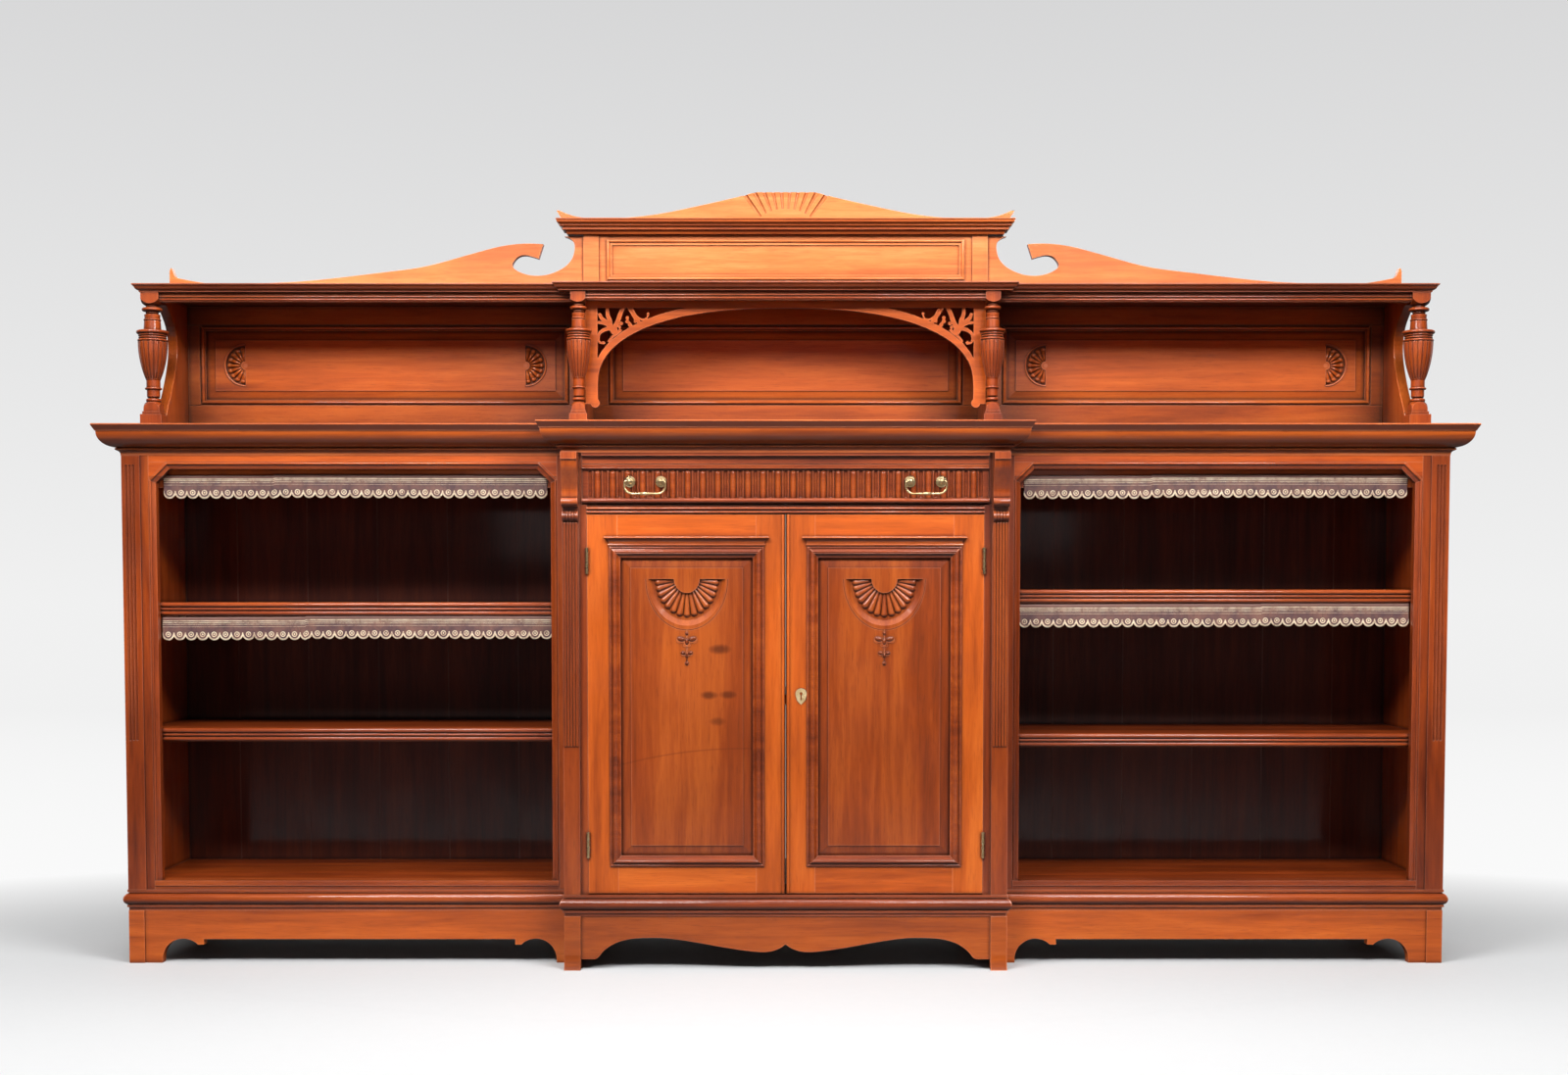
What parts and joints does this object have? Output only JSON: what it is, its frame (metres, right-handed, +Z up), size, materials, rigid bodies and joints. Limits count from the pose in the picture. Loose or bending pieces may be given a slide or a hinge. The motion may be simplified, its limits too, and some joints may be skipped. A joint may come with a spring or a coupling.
{
  "type": "breakfront bookcase",
  "caption": "Low breakfront bookcase with open shelved wings, a centre cupboard under a fluted drawer, and an upper shelf on turned columns with shaped crest boards.",
  "frame": {"origin": "on the floor, under the middle of the whole object's box", "axes": "+X to the right seen from the front, +Y to the wall, +Z up"},
  "size_m": [2.69, 0.465, 1.575],
  "materials": {
    "mahogany": "french polished",
    "mahogany_light": "french polished",
    "mahogany_dark": "waxed",
    "leather": "faded, gold tooled",
    "brass": "aged"
  },
  "bodies": {
    "root": {"plinth_left": "mahogany_light", "plinth_right": "mahogany_light", "plinth_centre": "mahogany_light", "plinth_back": "mahogany_dark", "base_moulding": "mahogany", "bottom_boards": "mahogany", "end_panel_left": "mahogany", "end_panel_right": "mahogany", "partition_left": "mahogany", "partition_right": "mahogany", "back_boards": "mahogany_dark", "face_frame_left": "mahogany", "face_frame_right": "mahogany", "pilaster_left": "mahogany", "pilaster_right": "mahogany", "corbel_left": "mahogany", "corbel_right": "mahogany", "centre_rails": "mahogany", "counter_cornice": "mahogany", "counter_top": "mahogany_light", "shelf_upper_left": "mahogany", "shelf_lower_left": "mahogany", "shelf_upper_right": "mahogany", "shelf_lower_right": "mahogany", "cupboard_shelf": "mahogany", "shelf_pegs": "brass", "fringes_left": "leather", "fringes_right": "leather", "drawer_runners": "mahogany_dark", "hinge_leaves": "brass", "gallery_back": "mahogany_light", "gallery_panels": "mahogany_light", "gallery_uprights": "mahogany_light", "column_outer_left": "mahogany", "column_inner_left": "mahogany", "column_inner_right": "mahogany", "column_outer_right": "mahogany", "arch_fret": "mahogany_light", "gallery_frieze": "mahogany", "gallery_shelf": "mahogany", "crest_left": "mahogany_light", "crest_right": "mahogany_light", "centre_tablet": "mahogany_light", "pediment_cornice": "mahogany", "pediment": "mahogany_light"},
    "drawer": {"drawer_front": "mahogany", "drawer_box": "mahogany_light", "handle_posts": "brass"},
    "bail_left": {"bail_left": "brass"},
    "bail_right": {"bail_right": "brass"},
    "door_left": {"door_left_frame": "mahogany_light", "door_left_panel": "mahogany_light", "door_left_moulding": "mahogany", "door_left_hinges": "brass"},
    "door_right": {"door_right_frame": "mahogany_light", "door_right_panel": "mahogany_light", "door_right_moulding": "mahogany", "door_right_hinges": "brass", "lock": "brass"},
    "lock_bolt": {"lock_bolt": "brass"}
  },
  "joints": [
    {"name": "drawer_slide", "type": "slide", "parent": "root", "child": "drawer", "axis": [0, -1, 0], "range_m": [0, 0.3]},
    {"name": "door_left_hinge", "type": "hinge", "parent": "root", "child": "door_left", "pos_m": [-0.38325, -0.181, 0.516], "axis": [0, 0, -1], "range_deg": [0, 110]},
    {"name": "door_right_hinge", "type": "hinge", "parent": "root", "child": "door_right", "pos_m": [0.38325, -0.181, 0.516], "axis": [0, 0, 1], "range_deg": [0, 110]},
    {"name": "bail_left_swing", "type": "hinge", "parent": "drawer", "child": "bail_left", "pos_m": [-0.27, -0.1945, 0.946], "axis": [-1, 0, 0], "range_deg": [-25, 95]},
    {"name": "bail_right_swing", "type": "hinge", "parent": "drawer", "child": "bail_right", "pos_m": [0.27, -0.1945, 0.946], "axis": [-1, 0, 0], "range_deg": [-25, 95]},
    {"name": "lock_bolt_slide", "type": "slide", "parent": "door_right", "child": "lock_bolt", "axis": [-1, 0, 0], "range_m": [0, 0.006]}
  ]
}
